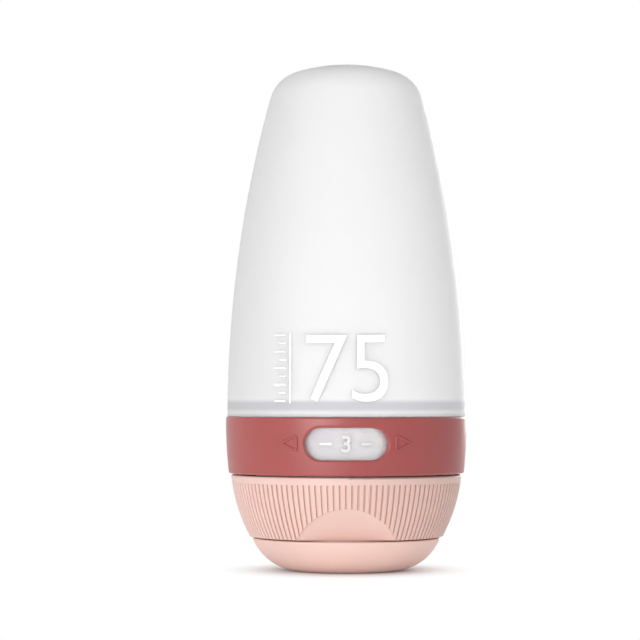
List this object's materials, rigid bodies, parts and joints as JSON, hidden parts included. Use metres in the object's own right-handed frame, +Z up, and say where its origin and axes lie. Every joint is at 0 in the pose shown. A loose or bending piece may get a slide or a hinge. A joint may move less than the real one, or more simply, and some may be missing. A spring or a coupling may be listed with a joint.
{
  "type": "travel squeeze bottle",
  "caption": "Squeezable silicone travel bottle that stands on its flip lid, with a turning selector ring round the neck and a ribbed screw cap with a thumb scoop.",
  "frame": {"origin": "middle of the lid's flat foot, which the bottle stands on", "axes": "+Z up along the bottle, -Y to the front with the window and the thumb scoop, hinge at +Y"},
  "size_m": [0.05, 0.05, 0.105],
  "materials": {
    "frosted_silicone": "frosted, translucent",
    "white_polypropylene": "satin",
    "rose_polypropylene": "satin",
    "blush_polypropylene": "satin",
    "white_silicone": "matte",
    "steel": "plain"
  },
  "bodies": {
    "bottle": {"bottle_body": "frosted_silicone", "neck_insert": "white_polypropylene"},
    "selector": {"selector_ring": "rose_polypropylene"},
    "seal": {"cap_gasket": "white_silicone"},
    "cap": {"screw_cap": "blush_polypropylene", "dispensing_valve": "white_silicone", "valve_retainer": "white_polypropylene", "hinge_pin": "steel"},
    "lid": {"flip_lid": "blush_polypropylene", "lid_plug": "white_silicone"}
  },
  "joints": [
    {"name": "ring_turn", "type": "hinge", "parent": "bottle", "child": "selector", "pos_m": [0, 0, 0.026], "axis": [0, 0, 1], "continuous": true},
    {"name": "cap_lift", "type": "slide", "parent": "bottle", "child": "seal", "axis": [0, 0, -1], "range_m": [0, 0.0105]},
    {"name": "cap_turn", "type": "hinge", "parent": "seal", "child": "cap", "pos_m": [0, 0, 0.013], "axis": [0, 0, -1], "range_deg": [0, 629.9]},
    {"name": "lid_flip", "type": "hinge", "parent": "cap", "child": "lid", "pos_m": [0, 0.0196, 0.0069], "axis": [1, 0, 0], "range_deg": [0, 150]}
  ],
  "couplings": [
    {"joint": "cap_lift", "follows": "cap_turn", "m_per_rad": 0.00095493}
  ]
}
